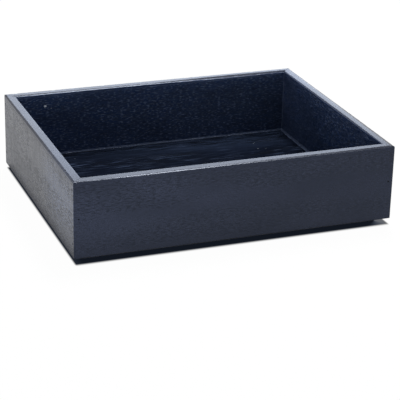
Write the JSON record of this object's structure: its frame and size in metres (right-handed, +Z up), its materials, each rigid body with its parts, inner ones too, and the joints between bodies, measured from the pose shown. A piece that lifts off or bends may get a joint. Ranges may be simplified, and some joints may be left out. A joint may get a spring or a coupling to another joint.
{
  "type": "display box",
  "caption": "Open-topped shallow rectangular display box of mitred, brad-pinned stained boards round a housed floor panel, standing on a recessed stacking plinth.",
  "frame": {"origin": "centre of the footprint, on the surface that the plinth stands on", "axes": "+X along the front to the right, +Y to the back, +Z up"},
  "size_m": [0.4, 0.32, 0.101],
  "materials": {
    "stained_board": "satin, stained black over open grain",
    "stained_floor": "satin, stained black over open grain",
    "stained_batten": "matt, stained black",
    "brad_steel": "blackened by the stain"
  },
  "bodies": {
    "root": {"front_board": "stained_board", "back_board": "stained_board", "left_board": "stained_board", "right_board": "stained_board", "floor_panel": "stained_floor", "plinth_front_batten": "stained_batten", "plinth_back_batten": "stained_batten", "plinth_left_batten": "stained_batten", "plinth_right_batten": "stained_batten", "corner_brads": "brad_steel", "plinth_brads": "brad_steel"}
  },
  "joints": []
}
